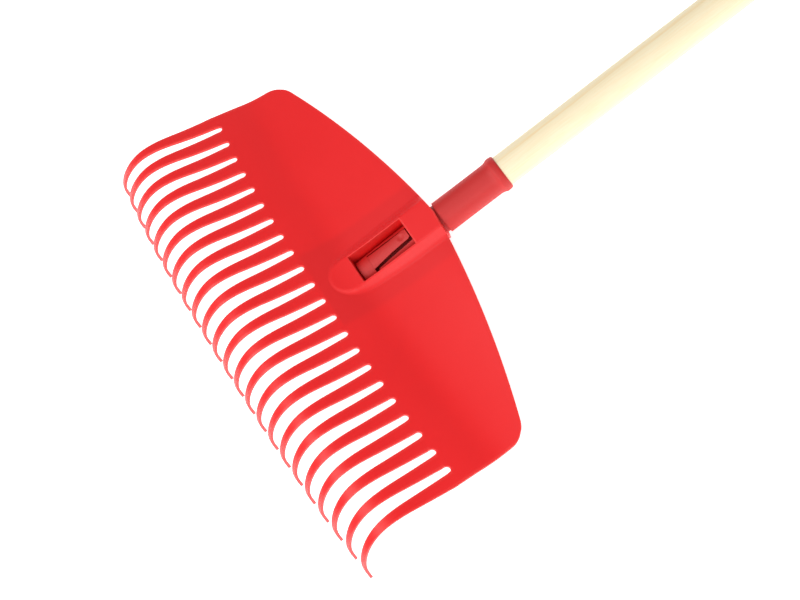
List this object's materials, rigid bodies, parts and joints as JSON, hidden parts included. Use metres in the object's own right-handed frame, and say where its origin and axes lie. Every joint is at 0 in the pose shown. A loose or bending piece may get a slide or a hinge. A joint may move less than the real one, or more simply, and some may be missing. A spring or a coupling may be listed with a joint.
{
  "type": "leaf rake",
  "caption": "Garden leaf rake with a wide bowed moulded head of curved tines that snaps onto a connector on a long round wooden handle.",
  "frame": {"origin": "on the handle's axis, where its taper reaches full thickness, 148.5 mm above the connector's rim", "axes": "+Y along the handle to its free end, +Z out of the head's front face, +X across the head; the tines reach to -Y and hook to -Z"},
  "size_m": [0.4234, 1.6912, 0.0662],
  "materials": {
    "head_plastic": "satin moulded",
    "connector_plastic": "fine matt moulded",
    "handle_wood": "sanded, thin clear coat",
    "screw_steel": "zinc plated"
  },
  "bodies": {
    "rake": {"rake_head": "head_plastic", "connector": "connector_plastic", "handle": "handle_wood", "sleeve_screw": "screw_steel"},
    "latch": {"latch_tongue": "connector_plastic"}
  },
  "joints": [
    {"name": "latch_press", "type": "hinge", "parent": "rake", "child": "latch", "pos_m": [0, -0.2775, 0.01192], "axis": [-1, 0, 0], "range_deg": [0, 4], "stiffness_Nm_per_rad": 8}
  ]
}
